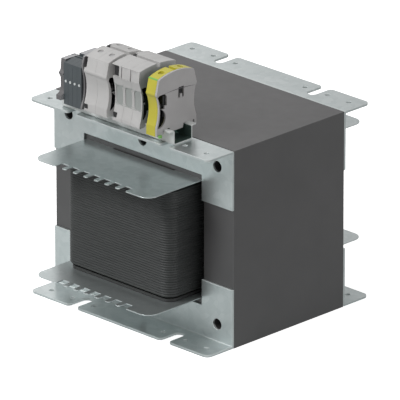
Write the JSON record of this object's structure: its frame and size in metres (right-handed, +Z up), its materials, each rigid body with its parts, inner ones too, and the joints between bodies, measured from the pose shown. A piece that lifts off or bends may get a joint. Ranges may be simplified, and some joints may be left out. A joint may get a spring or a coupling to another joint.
{
  "type": "medical isolation transformer",
  "caption": "Open-frame isolation transformer on a laminated core, with folded mounting brackets, comb-edged baffle plates and rail terminals.",
  "frame": {"origin": "middle of the footprint on the mounting plane", "axes": "+X along the core's width to the right seen from the terminals, +Y to the rear, +Z up"},
  "size_m": [0.24, 0.294, 0.2704],
  "materials": {
    "galvanised": "galvanised sheet with a faint spangle",
    "rail_zinc": "zinc plated and passivated",
    "rivet_steel": "plain",
    "core_varnish": "dark grey impregnating varnish, satin",
    "former_plastic": "glass filled, matt black",
    "winding_wire": "varnished flat wire, satin",
    "insulation_wrap": "layered insulation sheet",
    "screen_copper": "plain copper foil",
    "terminal_grey": "moulded polyamide",
    "terminal_dark": "moulded polyamide",
    "terminal_light": "moulded polyamide",
    "terminal_earth": "moulded polyamide, green and yellow",
    "plug_white": "plain",
    "bar_metal": "tinned copper",
    "clamp_steel": "zinc plated"
  },
  "bodies": {
    "root": {"front_top_bracket": "galvanised", "front_bottom_bracket": "galvanised", "rear_top_bracket": "galvanised", "rear_bottom_bracket": "galvanised", "front_upper_baffle": "galvanised", "front_lower_baffle": "galvanised", "rear_upper_baffle": "galvanised", "rear_lower_baffle": "galvanised", "mounting_rail": "rail_zinc", "rail_rivets": "rivet_steel", "e_laminations": "core_varnish", "i_laminations": "core_varnish", "coil_former": "former_plastic", "primary_winding": "winding_wire", "secondary_winding": "winding_wire", "inner_insulation": "insulation_wrap", "outer_insulation": "insulation_wrap", "screen_foil": "screen_copper", "terminal_end_bracket": "terminal_grey", "sensor_terminal_1": "terminal_dark", "sensor_terminal_2": "terminal_dark", "sensor_terminal_3": "terminal_dark", "sensor_terminal_4": "terminal_dark", "test_plugs": "plug_white", "supply_terminal_1": "terminal_light", "supply_terminal_2": "terminal_light", "output_terminal_1": "terminal_light", "output_terminal_2": "terminal_light", "output_terminal_3": "terminal_light", "earth_terminal": "terminal_earth", "terminal_end_plate": "terminal_grey", "current_bars": "bar_metal", "clamp_cages": "clamp_steel", "clamp_screws": "clamp_steel"}
  },
  "joints": []
}
